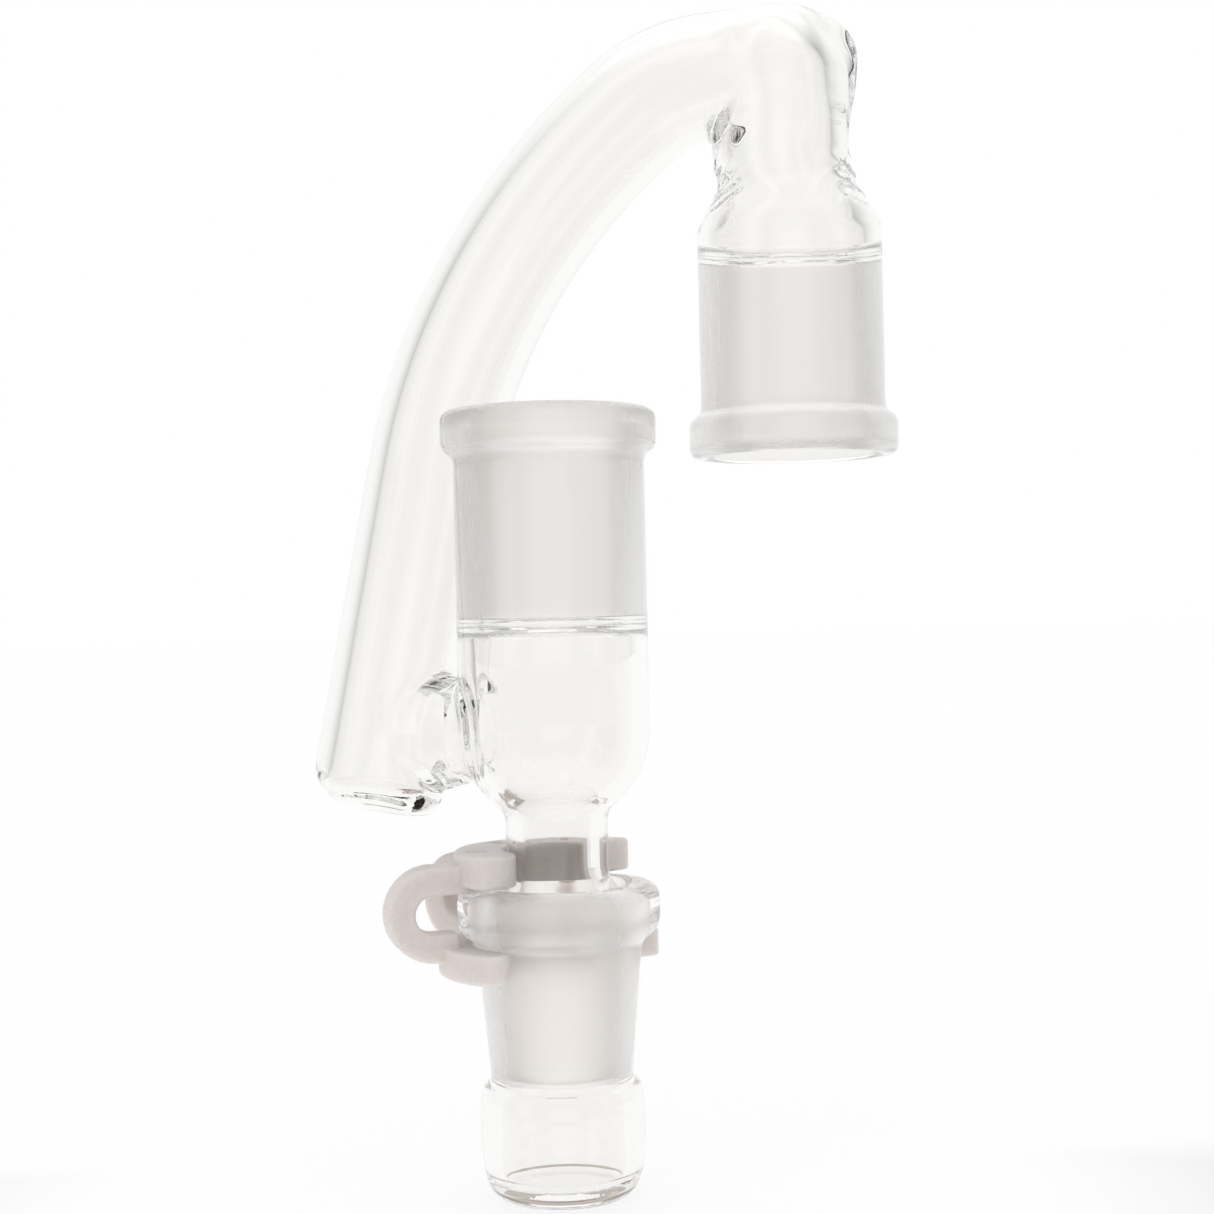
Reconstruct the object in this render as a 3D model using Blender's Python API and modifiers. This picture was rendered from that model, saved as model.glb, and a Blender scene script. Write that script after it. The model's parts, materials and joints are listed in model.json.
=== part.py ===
"""Glass drop-down joint adapter with a collecting cup and a plastic joint clip.

A vertical column hangs a ground-glass cup under an upward socket. A bridge tube leads
from the column into the closed foot of a bent arm, which rises over the column and ends
in a second socket that faces down. A springy clip holds the cup on the column's cone.

Metres, +Z up. The whole adapter hangs by its downward socket, so the origin is the centre
of that socket's mouth. Everything is set out from the centre of the cup's flat base, under
the column's axis, and an empty carries it all to its place below the origin. +X is from
the column towards the hanging socket, and +Y is towards the arm's side of the column.
"""

import bpy
import bmesh
from math import cos, degrees, pi, radians, sin, tan
from mathutils import Matrix, Vector

# Driving dimensions. Ground joints follow the standard 1:10 tapers 19/22 and 14/20.
GAP = 0.0003             # left between neighbouring pieces
TAPER = 0.05             # radius lost per length of a ground joint
SOCKET_BORE_R = 0.0094   # large end of the 19/22 sockets
SOCKET_GROUND = 0.0220   # their ground length
CUP_BORE_R = 0.00725     # large end of the cup's 14/20 socket
TUBE_R = 0.0111          # outside of the column and of both 19/22 sockets
TUBE_WALL = 0.0020
RIM_R = 0.01257          # outside of the sockets' rolled rims

CUP_WAIST_Z = 0.0138     # where the cup's ground zone ends
CUP_MOUTH_Z = 0.0362
CUP_RIM_R = 0.0118
CUP_BASE = 0.0032        # thickness of the cup's flat base
NECK_R = 0.00595         # outside of the column's neck
NECK_BORE_R = 0.0039
NECK_TOP_Z = 0.0432
BULB_Z = 0.0540          # centre of the column's round shoulder
BRIDGE_Z = 0.0536
GROUND_END_Z = 0.0668    # end of the upper socket's ground zone
COLUMN_MOUTH_Z = 0.0911

HANG_AXIS = Vector((0.0294, 0.0090, 0.0))   # from the column's axis
HANG_MOUTH_Z = 0.0857
HANG_GROUND_END_Z = 0.1102
HANG_SHOULDER_Z = 0.1128
ELBOW_R = 0.0081
ELBOW_BORE_R = 0.0056
ELBOW_OFFSET = 0.0006    # the elbow sits this far back along the arm from the socket's axis
ELBOW_Z = 0.1245         # lower end of the elbow
CROWN_TOP_Z = 0.1404

# The arm's axis lies in one plane through the hanging socket. It leaves the socket level,
# turns down through a tight bend and a gentle one, and ends in a straight stretch.
ARM_R = 0.0078
ARM_BORE_R = 0.0058
ARM_HEADING = radians(-22.8)   # of the level stretch, from the arm towards the socket
ARM_TILT = radians(13.6)       # the plane leans back from upright, away from the column
ARM_LEVEL_Z = 0.1329
ARM_LEVEL = 0.0103
CROWN_R = 0.0150
CROWN_LEAN = radians(49.6)     # lean in the arm's plane where the bends meet
BEND_R = 0.0669
MIDDLE_LEAN = radians(27)      # where the gentle bend is divided into two pieces
ARM_LEAN = radians(4.9)
ARM_STRAIGHT = 0.0419
FOOT_BASE = 0.0024       # thickness of the foot's closed end
FOOT_CORNER = 0.0042

BRIDGE_R = 0.0059        # at the column
BRIDGE_FLARE_R = 0.0068  # at the arm
BRIDGE_BORE_R = 0.0042

CLIP_ANGLE = radians(140)      # from the column's axis to the middle of the clip's back
CLIP_PLATE_R = 0.0120
CLIP_UPPER_BORE_R = 0.00625
CLIP_UPPER_SPAN = radians(92)  # each way from the middle of the back
CLIP_UPPER_Z = (0.0365, 0.0403)
CLIP_LOWER_BORE_R = 0.0101
CLIP_LOWER_R = 0.0140
CLIP_LOWER_SPAN = radians(101)
CLIP_LOWER_Z = (0.0262, 0.0296)
BOW_REACH = 0.0202
BOW_Z = (0.0283, 0.0387)
BOW_BAND = 0.0030
BOW_WIDTH = 0.0036
BOW_SPACING = radians(56)

STEPS = 36               # facets round a turned piece

GLASS = ("clear_glass", (0.93, 0.94, 0.93, 1.0), 0.03)
GROUND = ("ground_glass", (0.90, 0.89, 0.88, 1.0), 0.45)
PLASTIC = ("clip_plastic", (0.81, 0.78, 0.76, 1.0), 0.40)


def clear_scene():
    for old in list(bpy.data.objects):
        bpy.data.objects.remove(old, do_unlink=True)


def collection(name):
    made = bpy.data.collections.new(name)
    bpy.context.scene.collection.children.link(made)
    return made


def add_material(thing, finish, node):
    name, colour, roughness = finish
    material = bpy.data.materials.new(f"{node}_{name}")
    material.use_nodes = True
    shader = material.node_tree.nodes["Principled BSDF"]
    shader.inputs["Base Color"].default_value = colour
    shader.inputs["Roughness"].default_value = roughness
    shader.inputs["Metallic"].default_value = 0.0
    thing.data.materials.append(material)


def add_object(name, data, group, finish=None):
    thing = bpy.data.objects.new(name, data)
    group.objects.link(thing)
    if finish:
        add_material(thing, finish, name)
    return thing


def hide_cutter(thing):
    thing.hide_render = True
    thing.display_type = "WIRE"
    return thing


def arc(centre_r, centre_z, radius, start, end, count):
    """Points of a round stretch of a profile, with its angles in degrees from outward."""
    points = []
    for step in range(count + 1):
        angle = radians(start + (end - start) * step / count)
        points.append((centre_r + radius * cos(angle), centre_z + radius * sin(angle)))
    return points


def turned(name, profile, group, finish=None, closed=True, place=Matrix()):
    """A turned piece. The profile's outer side runs down, and a closed profile is a ring."""
    mesh = bpy.data.meshes.new(name)
    shape = bmesh.new()
    ring = [shape.verts.new((r, 0.0, z)) for r, z in profile]
    pairs = list(zip(ring, ring[1:]))
    if closed:
        pairs.append((ring[-1], ring[0]))
    for first, second in pairs:
        shape.edges.new((first, second))
    shape.to_mesh(mesh)
    shape.free()
    thing = add_object(name, mesh, group, finish)
    thing.matrix_world = place
    screw = thing.modifiers.new("turn", "SCREW")
    screw.steps = STEPS
    screw.render_steps = STEPS
    screw.use_merge_vertices = True
    screw.merge_threshold = 0.00001
    screw.use_smooth_shade = True
    return thing


def cylinder(name, radius, length, group, place):
    mesh = bpy.data.meshes.new(name)
    shape = bmesh.new()
    bmesh.ops.create_cone(
        shape, cap_ends=True, segments=STEPS, radius1=radius, radius2=radius, depth=length
    )
    shape.to_mesh(mesh)
    shape.free()
    thing = add_object(name, mesh, group)
    thing.matrix_world = place
    return hide_cutter(thing)


def cut(thing, *cutters, operation="DIFFERENCE"):
    for cutter in cutters:
        step = thing.modifiers.new(f"{operation.lower()}_{cutter.name}", "BOOLEAN")
        step.object = cutter
        step.operation = operation
        step.solver = "EXACT"


def along(direction, at):
    """A placement whose Z axis points along the direction."""
    return Matrix.Translation(at) @ direction.to_track_quat("Z", "Y").to_matrix().to_4x4()


def arm_side():
    return Vector((cos(ARM_HEADING), sin(ARM_HEADING), 0.0))


def arm_rise():
    back = Vector((-sin(ARM_HEADING), cos(ARM_HEADING), 0.0))
    return Vector((0.0, 0.0, cos(ARM_TILT))) + back * sin(ARM_TILT)


def arm_direction(lean):
    """Along the arm towards the socket, where the arm leans this far in its plane."""
    return arm_side() * sin(lean) + arm_rise() * cos(lean)


def bend_step(start_lean, end_lean, radius):
    """From the start of a bend of the arm to its end."""
    side = radius * (cos(start_lean) - cos(end_lean))
    rise = radius * (sin(end_lean) - sin(start_lean))
    return arm_side() * side + arm_rise() * rise


def elbow_axis():
    return HANG_AXIS - arm_side() * ELBOW_OFFSET


def crown_end():
    """Where the tight bend becomes level."""
    return HANG_AXIS + Vector((0.0, 0.0, ARM_LEVEL_Z)) - arm_side() * ARM_LEVEL


def crown_start():
    return crown_end() - bend_step(CROWN_LEAN, pi / 2, CROWN_R)


def bend_start():
    return crown_start() - bend_step(ARM_LEAN, CROWN_LEAN, BEND_R)


def foot_centre():
    return bend_start() - arm_direction(ARM_LEAN) * ARM_STRAIGHT


def bend_knots(start, lean, end_lean, radius):
    """Two Bezier knots that follow a round bend: (place, left handle, right handle)."""
    end = start + bend_step(lean, end_lean, radius)
    reach = 4 / 3 * tan((end_lean - lean) / 4) * radius
    first = arm_direction(lean) * reach
    last = arm_direction(end_lean) * reach
    return [(start, start - first, start + first), (end, end - last, end + last)]


def tube_curve(name, knots, radius):
    curve = bpy.data.curves.new(name, "CURVE")
    curve.dimensions = "3D"
    curve.bevel_depth = radius
    curve.bevel_resolution = 6
    curve.resolution_u = 10
    curve.use_fill_caps = True
    spline = curve.splines.new("BEZIER")
    spline.bezier_points.add(len(knots) - 1)
    for point, (place, left, right) in zip(spline.bezier_points, knots):
        point.handle_left_type = "FREE"
        point.handle_right_type = "FREE"
        point.co = place
        point.handle_left = left
        point.handle_right = right
    return curve


def solid_from(curve, name, group, finish=None, place=Matrix()):
    """A closed mesh object made from a curve, whose loose caps are welded."""
    guide = bpy.data.objects.new(name + "_guide", curve)
    bpy.context.scene.collection.objects.link(guide)
    guide.matrix_world = place
    bpy.context.view_layer.update()
    seen = guide.evaluated_get(bpy.context.evaluated_depsgraph_get())
    mesh = bpy.data.meshes.new_from_object(seen)
    bpy.data.objects.remove(guide, do_unlink=True)
    bpy.data.curves.remove(curve)
    shape = bmesh.new()
    shape.from_mesh(mesh)
    bmesh.ops.remove_doubles(shape, verts=shape.verts, dist=0.000005)
    bmesh.ops.recalc_face_normals(shape, faces=shape.faces)
    shape.to_mesh(mesh)
    shape.free()
    mesh.materials.clear()
    thing = add_object(name, mesh, group, finish)
    thing.matrix_world = place
    return thing


def socket_profile(mouth, inward, tube_r, bore_r, ground_end):
    """A 19/22 socket's ring: rolled rim, tube and tapered bore.

    inward is -1 where the mouth faces up and the tube runs down from it, +1 where the
    mouth faces down.
    """
    def at(radius, depth):
        return radius, mouth + inward * depth

    length = abs(ground_end - mouth) - GAP / 2
    ground_start = length + GAP / 2 - SOCKET_GROUND
    small_r = bore_r - TAPER * SOCKET_GROUND
    ring = [
        at(0.0101, 0.0), at(0.0108, 0.0), at(0.0121, 0.0006), at(RIM_R, 0.0013),
        at(RIM_R, 0.0034), at(0.0123, 0.0040), at(0.0114, 0.0047), at(tube_r, 0.0056),
        at(tube_r, length),
        at(small_r, length), at(bore_r, ground_start), at(0.0097, 0.0006),
    ]
    return ring if inward < 0 else ring[::-1]


def upper_socket(parts):
    profile = socket_profile(COLUMN_MOUTH_Z, -1, TUBE_R, SOCKET_BORE_R, GROUND_END_Z)
    return turned("upper_socket", profile, parts, GROUND)


def column_bulb(parts, cutters):
    """Clear tube under the socket, closing in a round shoulder onto the neck."""
    top = GROUND_END_Z - GAP / 2
    bore = TUBE_R - TUBE_WALL
    outside = [(TUBE_R, top)] + arc(0.0, BULB_Z, TUBE_R, 0, -50, 8)
    outside += [(NECK_R + 0.0005, 0.0447), (NECK_R, 0.0438), (NECK_R, NECK_TOP_Z)]
    inside = [(NECK_BORE_R, NECK_TOP_Z), (NECK_BORE_R, 0.0450), (NECK_BORE_R + 0.0008, 0.0462)]
    inside += arc(0.0, BULB_Z, bore, -54, 0, 7) + [(bore, top)]
    bulb = turned("column_bulb", outside + inside, parts, GLASS)
    reach = TUBE_R * 1.5
    middle = bridge_direction() * reach / 2 + Vector((0.0, 0.0, BRIDGE_Z))
    cut(bulb, cylinder("bulb_port", BRIDGE_BORE_R, reach, cutters,
                       along(bridge_direction(), middle)))
    return bulb


def male_joint(parts):
    """Stem and ground cone, a gap smaller than the cup's bore all round."""
    top = NECK_TOP_Z - GAP
    large_z = CUP_MOUTH_Z - 0.0016
    tip_z = CUP_WAIST_Z + 0.0004
    large_r = CUP_BORE_R - GAP
    tip_r = large_r - TAPER * (large_z - tip_z)
    profile = [
        (NECK_R, top), (NECK_R, 0.0364), (NECK_R + 0.0004, 0.0360), (large_r - 0.0002, 0.0354),
        (large_r, large_z), (tip_r, tip_z),
        (tip_r - 0.0014, tip_z), (large_r - 0.0017, 0.0335),
        (NECK_BORE_R + 0.0003, 0.0362), (NECK_BORE_R, 0.0374), (NECK_BORE_R, top),
    ]
    return turned("male_joint", profile, parts, GROUND)


def bridge_target():
    """The arm's axis at the bridge's height, seen level from the column's axis."""
    axis = arm_direction(ARM_LEAN)
    target = foot_centre() + axis * ((BRIDGE_Z - foot_centre().z) / axis.z)
    return Vector((target.x, target.y, 0.0))


def bridge_direction():
    return bridge_target().normalized()


def bridge_tube(parts, cutters):
    """Short level tube from the column to the arm, saddle cut at both ends."""
    arm_face = bridge_target().length - ARM_R
    middle = (TUBE_R + arm_face) / 2
    ends = TUBE_R - 0.0030, arm_face + 0.0035
    profile = [
        (BRIDGE_FLARE_R, ends[1]), (BRIDGE_FLARE_R, middle + 0.0004),
        (BRIDGE_FLARE_R - 0.0002, middle - 0.0003), (BRIDGE_R, TUBE_R + 0.0006),
        (BRIDGE_R, ends[0]), (BRIDGE_BORE_R, ends[0]), (BRIDGE_BORE_R, ends[1]),
    ]
    place = along(bridge_direction(), Vector((0.0, 0.0, BRIDGE_Z)))
    tube = turned("bridge_tube", profile, parts, GLASS, place=place)
    column = cylinder("column_saddle", TUBE_R + GAP, 0.040, cutters,
                      Matrix.Translation((0.0, 0.0, BRIDGE_Z)))
    axis = arm_direction(ARM_LEAN)
    arm = cylinder("arm_saddle", ARM_R + GAP, 0.080, cutters, along(axis, foot_centre()))
    cut(tube, column, arm)
    return tube


def arm_foot(parts, cutters):
    """Straight lower stretch of the arm, closed by a flat foot with round corners."""
    axis = arm_direction(ARM_LEAN)
    top = ARM_STRAIGHT - GAP / 2
    inner_corner = FOOT_CORNER - 0.0012
    outside = [(ARM_R, top)]
    outside += arc(ARM_R - FOOT_CORNER, FOOT_CORNER, FOOT_CORNER, 0, -90, 7) + [(0.0, 0.0)]
    inside = [(0.0, FOOT_BASE)] + arc(
        ARM_BORE_R - inner_corner, FOOT_BASE + inner_corner, inner_corner, -90, 0, 4
    ) + [(ARM_BORE_R, top)]
    foot = turned("arm_foot", inside + outside, parts, GLASS, closed=False,
                  place=along(axis, foot_centre()))
    reach = ARM_R * 1.5
    middle = bridge_target() - bridge_direction() * reach / 2 + Vector((0.0, 0.0, BRIDGE_Z))
    cut(foot, cylinder("foot_port", BRIDGE_BORE_R, reach, cutters,
                       along(bridge_direction(), middle)))
    return foot


def arm_stretch(name, start, lean, end_lean, radius, parts, cutters):
    """A bent stretch of the arm, open at both ends."""
    knots = bend_knots(start, lean, end_lean, radius)
    tube = solid_from(tube_curve(name, knots, ARM_R), name, parts, GLASS)
    spare = 0.002
    first, last = arm_direction(lean) * spare, arm_direction(end_lean) * spare
    begin = knots[0][0] - first
    finish = knots[1][0] + last
    bore = [(begin, begin - first, begin + first / 3)] + knots
    bore += [(finish, finish - last / 3, finish + last)]
    bore[1] = (knots[0][0], knots[0][0] - first / 3, knots[0][2])
    bore[2] = (knots[1][0], knots[1][1], knots[1][0] + last / 3)
    hollow = solid_from(tube_curve(name + "_bore", bore, ARM_BORE_R), name + "_bore", cutters)
    cut(tube, hide_cutter(hollow))
    return tube


def arm_lower_bend(parts, cutters):
    trim = GAP / 2 / BEND_R
    start = bend_start() + bend_step(ARM_LEAN, ARM_LEAN + trim, BEND_R)
    return arm_stretch("arm_lower_bend", start, ARM_LEAN + trim, MIDDLE_LEAN - trim, BEND_R,
                       parts, cutters)


def arm_upper_bend(parts, cutters):
    trim = GAP / 2 / BEND_R
    start = bend_start() + bend_step(ARM_LEAN, MIDDLE_LEAN + trim, BEND_R)
    return arm_stretch("arm_upper_bend", start, MIDDLE_LEAN + trim, CROWN_LEAN - trim, BEND_R,
                       parts, cutters)


def elbow_branch(name, radius, overrun, group):
    """The tight bend at the crown, run level to the elbow's axis."""
    trim = GAP / 2 / CROWN_R
    start = crown_start() + bend_step(CROWN_LEAN, CROWN_LEAN + trim, CROWN_R)
    knots = bend_knots(start, CROWN_LEAN + trim, pi / 2, CROWN_R)
    level = knots[1][0]
    centre = elbow_axis() + Vector((0.0, 0.0, ARM_LEVEL_Z))
    third = (centre - level) / 3
    knots.append((centre, centre - third, centre + third))
    knots[1] = (level, knots[1][1], level + third)
    if overrun:
        back = arm_direction(CROWN_LEAN) * overrun
        before = start - back
        knots[0] = (start, start - back / 3, knots[0][2])
        knots.insert(0, (before, before - back, before + back / 3))
    return solid_from(tube_curve(name, knots, radius), name, group)


def crown_elbow(parts, cutters):
    """Domed top of the hanging socket's tube, with the arm let into its side."""
    corner = 0.0068
    inner_corner = 0.0048
    wall = ELBOW_R - ELBOW_BORE_R
    low = ELBOW_Z + GAP / 2
    place = Matrix.Translation(elbow_axis())
    dome = [(0.0, CROWN_TOP_Z)]
    dome += arc(ELBOW_R - corner, CROWN_TOP_Z - corner, corner, 90, 0, 8)
    dome += [(ELBOW_R, low), (0.0, low)]
    elbow = turned("crown_elbow", dome, parts, GLASS, closed=False, place=place)
    branch = elbow_branch("elbow_branch", ARM_R - 0.0003, 0.0, cutters)
    cavity_top = CROWN_TOP_Z - wall
    hollow = [(0.0, cavity_top)]
    hollow += arc(ELBOW_BORE_R - inner_corner, cavity_top - inner_corner, inner_corner, 90, 0, 6)
    hollow += [(ELBOW_BORE_R, low - 0.002), (0.0, low - 0.002)]
    cavity = turned("elbow_cavity", hollow, cutters, closed=False, place=place)
    bore = elbow_branch("branch_bore", ARM_BORE_R - 0.0003, 0.002, cutters)
    cut(elbow, hide_cutter(branch), operation="UNION")
    cut(elbow, hide_cutter(cavity), hide_cutter(bore))
    return elbow


def hanging_shoulder(parts):
    """From the elbow's neck out to the hanging socket's tube."""
    low = HANG_GROUND_END_Z + GAP / 2
    high = ELBOW_Z - GAP / 2
    round_r = 0.0052
    wall = 0.0022
    outside = [(ELBOW_R, high), (ELBOW_R, HANG_SHOULDER_Z + 0.0064),
               (ELBOW_R + 0.0004, HANG_SHOULDER_Z + 0.0050)]
    outside += arc(TUBE_R - round_r, HANG_SHOULDER_Z, round_r, 54, 0, 6) + [(TUBE_R, low)]
    inside = [(TUBE_R - wall, low)]
    inside += arc(TUBE_R - round_r, HANG_SHOULDER_Z, round_r - wall, 0, 66, 4)
    inside += [(ELBOW_BORE_R, HANG_SHOULDER_Z + 0.0044), (ELBOW_BORE_R, high)]
    return turned("hanging_shoulder", outside + inside, parts, GLASS,
                  place=Matrix.Translation(HANG_AXIS))


def hanging_socket(parts):
    profile = socket_profile(HANG_MOUTH_Z, 1, TUBE_R, SOCKET_BORE_R, HANG_GROUND_END_Z)
    return turned("hanging_socket", profile, parts, GROUND,
                  place=Matrix.Translation(HANG_AXIS))


def cup_bore(z):
    """Radius of the cup's ground bore at a height."""
    return CUP_BORE_R - TAPER * (CUP_MOUTH_Z - 0.0016 - z)


def cup_socket(parts):
    low = CUP_WAIST_Z + GAP / 2
    profile = [
        (0.0092, CUP_MOUTH_Z), (0.0103, CUP_MOUTH_Z - 0.0003), (0.0113, CUP_MOUTH_Z - 0.0009),
        (CUP_RIM_R, CUP_MOUTH_Z - 0.0017), (CUP_RIM_R, 0.0312), (0.0114, 0.0305),
        (0.0105, 0.0300), (0.0096, 0.0296), (0.0094, 0.0270), (0.0082, 0.0150), (0.0082, low),
        (cup_bore(low), low), (CUP_BORE_R, CUP_MOUTH_Z - 0.0016), (0.0078, CUP_MOUTH_Z - 0.0004),
        (0.0083, CUP_MOUTH_Z),
    ]
    return turned("cup_socket", profile, parts, GROUND)


def cup_bowl(parts):
    """Clear blown bowl with a thick flat base."""
    high = CUP_WAIST_Z - GAP / 2
    waist_r = 0.0082
    corner = 0.0030
    inner_corner = 0.0022
    bore = 0.0071
    outside = [(waist_r, high), (0.0088, 0.0126), (0.0093, 0.0112), (0.0097, 0.0086),
               (0.0097, 0.0060)]
    outside += arc(0.0096 - corner, corner, corner, 0, -90, 5) + [(0.0, 0.0)]
    inside = [(0.0, CUP_BASE)] + arc(bore - inner_corner, CUP_BASE + inner_corner,
                                     inner_corner, -90, 0, 4)
    inside += [(bore, 0.0090), (0.0067, 0.0118), (cup_bore(high), high)]
    return turned("cup_bowl", inside + outside, parts, GLASS, closed=False)


def flat_solid(name, outlines, thickness, group, finish=None, place=Matrix()):
    """A 2D outline, made solid by half its thickness each way."""
    curve = bpy.data.curves.new(name, "CURVE")
    curve.dimensions = "2D"
    curve.fill_mode = "BOTH"
    curve.extrude = thickness / 2
    for outline in outlines:
        spline = curve.splines.new("POLY")
        spline.points.add(len(outline) - 1)
        for point, (x, y) in zip(spline.points, outline):
            point.co = (x, y, 0.0, 1.0)
        spline.use_cyclic_u = True
    return solid_from(curve, name, group, finish, place)


def sector(inner_r, outer_r, span):
    """A ring's sector, open towards -X, from -span to +span."""
    turn = degrees(span)
    return arc(0.0, 0.0, outer_r, -turn, turn, 26) + arc(0.0, 0.0, inner_r, turn, -turn, 22)


def bow_outline():
    """A lying U over radius and height, whose round end is at the bow's reach.

    Its upper arm roots in the upper plate, and its lower arm stays outside the cup's rim.
    """
    outer_r = (BOW_Z[1] - BOW_Z[0]) / 2
    inner_r = outer_r - BOW_BAND
    centre = BOW_REACH - outer_r
    upper_root = CLIP_PLATE_R - 0.0012
    lower_root = CUP_RIM_R + GAP
    return ([(lower_root, -outer_r)] + arc(centre, 0.0, outer_r, -90, 90, 14)
            + [(upper_root, outer_r), (upper_root, inner_r)]
            + arc(centre, 0.0, inner_r, 90, -90, 10) + [(lower_root, -inner_r)])


def joint_clip(parts, cutters):
    """One plastic moulding: two open plates held apart by three bows."""
    def plate(name, bore_r, outer_r, span, heights, group, finish=None):
        middle = (heights[0] + heights[1]) / 2
        place = Matrix.Translation((0.0, 0.0, middle)) @ Matrix.Rotation(CLIP_ANGLE, 4, "Z")
        return flat_solid(name, [sector(bore_r, outer_r, span)], heights[1] - heights[0],
                          group, finish, place)

    clip = plate("joint_clip", CLIP_UPPER_BORE_R, CLIP_PLATE_R, CLIP_UPPER_SPAN,
                 CLIP_UPPER_Z, parts, PLASTIC)
    lower = plate("clip_lower_plate", CLIP_LOWER_BORE_R, CLIP_LOWER_R, CLIP_LOWER_SPAN,
                  CLIP_LOWER_Z, cutters)
    cut(clip, hide_cutter(lower), operation="UNION")
    middle = (BOW_Z[0] + BOW_Z[1]) / 2
    for number, turn in enumerate((-BOW_SPACING, 0.0, BOW_SPACING), start=1):
        upright = Matrix.Rotation(CLIP_ANGLE + turn, 4, "Z") @ Matrix.Rotation(pi / 2, 4, "X")
        bow = flat_solid(f"clip_bow_{number}", [bow_outline()], BOW_WIDTH, cutters,
                         place=Matrix.Translation((0.0, 0.0, middle)) @ upright)
        cut(clip, hide_cutter(bow), operation="UNION")
    return clip


def smooth_shading(thing):
    if thing.type == "MESH" and thing.data.polygons:
        thing.data.shade_smooth()
        thing.data.set_sharp_from_angle(angle=radians(35))


def hang_from_origin(*groups):
    """Carry everything on an empty, so that the hanging socket's mouth is the origin."""
    place = -HANG_AXIS - Vector((0.0, 0.0, HANG_MOUTH_Z))
    carrier = bpy.data.objects.new("cup_base_centre", None)
    bpy.context.scene.collection.objects.link(carrier)
    carrier.location = place
    for group in groups:
        for thing in group.objects:
            thing.parent = carrier


def main():
    clear_scene()
    parts = collection("drop_down_adapter")
    cutters = collection("cutters")
    upper_socket(parts)
    column_bulb(parts, cutters)
    male_joint(parts)
    bridge_tube(parts, cutters)
    arm_foot(parts, cutters)
    arm_lower_bend(parts, cutters)
    arm_upper_bend(parts, cutters)
    crown_elbow(parts, cutters)
    hanging_shoulder(parts)
    hanging_socket(parts)
    cup_socket(parts)
    cup_bowl(parts)
    joint_clip(parts, cutters)
    hang_from_origin(parts, cutters)
    for thing in parts.objects:
        smooth_shading(thing)


main()
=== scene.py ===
"""Looks of a glass drop-down joint adapter with its collecting cup and joint clip.

The glass is one continuous wall, as a glassblower leaves it: each piece is described by a
distance field, whose zero surface is meshed. Fields are in millimetres, set out from the
centre of the cup's flat base, on the column's axis, with +Z up.
"""

import json
from math import cos, pi, radians, sin

import bpy
import numpy as np
from mathutils import Matrix, Vector


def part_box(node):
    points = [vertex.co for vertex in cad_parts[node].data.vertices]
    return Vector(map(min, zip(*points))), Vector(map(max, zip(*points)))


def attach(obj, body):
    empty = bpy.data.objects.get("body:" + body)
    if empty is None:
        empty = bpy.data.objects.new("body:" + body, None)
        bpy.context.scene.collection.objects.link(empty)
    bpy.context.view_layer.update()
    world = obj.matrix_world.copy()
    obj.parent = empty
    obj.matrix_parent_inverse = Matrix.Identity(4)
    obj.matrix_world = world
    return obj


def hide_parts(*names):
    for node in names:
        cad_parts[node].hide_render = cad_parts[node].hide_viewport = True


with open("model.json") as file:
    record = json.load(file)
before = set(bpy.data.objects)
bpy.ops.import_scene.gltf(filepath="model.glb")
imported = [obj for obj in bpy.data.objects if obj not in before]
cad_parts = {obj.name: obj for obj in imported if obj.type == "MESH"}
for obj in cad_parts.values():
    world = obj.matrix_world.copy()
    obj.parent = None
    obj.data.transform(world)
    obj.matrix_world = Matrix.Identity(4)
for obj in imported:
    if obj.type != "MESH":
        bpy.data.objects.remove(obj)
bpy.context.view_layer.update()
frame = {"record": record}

MM = 0.001
GLASS_CELL = 0.5
CLIP_CELL = 0.24
FINE_STEP = 0.25         # the glass mesh's height steps where its profile has small detail

# The arm's axis, as the frame was set out. It lies in one plane through the elbow's axis.
ARM_R = 7.8
ARM_BORE_R = 5.8
ARM_HEADING = radians(-22.8)
ARM_TILT = radians(13.6)
ARM_LEVEL_Z = 132.55
ARM_LEVEL = 10.3
CROWN_R = 15.0
CROWN_LEAN = radians(49.6)
BEND_R = 66.9
ARM_LEAN = radians(4.9)
ARM_STRAIGHT = 41.9
TAPER = 0.05             # radius lost per length of a ground joint
GROUND_LENGTH = 22.0


def node_box(name):
    low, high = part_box(name)
    return np.array(low) / MM, np.array(high) / MM


def lowest(name):
    return node_box(name)[0][2] - base[2]


def highest(name):
    return node_box(name)[1][2] - base[2]


def axis_of(name):
    low, high = node_box(name)
    return ((low + high) / 2 - base)[:2]


bowl_low, bowl_high = node_box("cup_bowl")
base = np.array([*((bowl_low + bowl_high) / 2)[:2], bowl_low[2]])

COLUMN_MOUTH = highest("upper_socket")
COLUMN_GROUND_END = lowest("upper_socket")
HANG_AXIS = axis_of("hanging_socket")
HANG_MOUTH = lowest("hanging_socket")
HANG_GROUND_END = highest("hanging_socket")
CONE_TIP = lowest("male_joint")
CUP_MOUTH = highest("cup_socket")
CUP_WAIST = highest("cup_bowl")


# ---------------------------------------------------------------- distance fields

def smooth_min(first, second, width):
    share = np.clip(0.5 + 0.5 * (second - first) / width, 0, 1)
    return second * (1 - share) + first * share - width * share * (1 - share)


def smooth_max(first, second, width):
    return -smooth_min(-first, -second, width)


def arc(centre_r, centre_z, radius, start, end, count=12):
    """Points of a round stretch of a profile, with its angles in degrees from outward."""
    angles = np.radians(np.linspace(start, end, count + 1))
    return [(centre_r + radius * cos(a), centre_z + radius * sin(a)) for a in angles]


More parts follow.
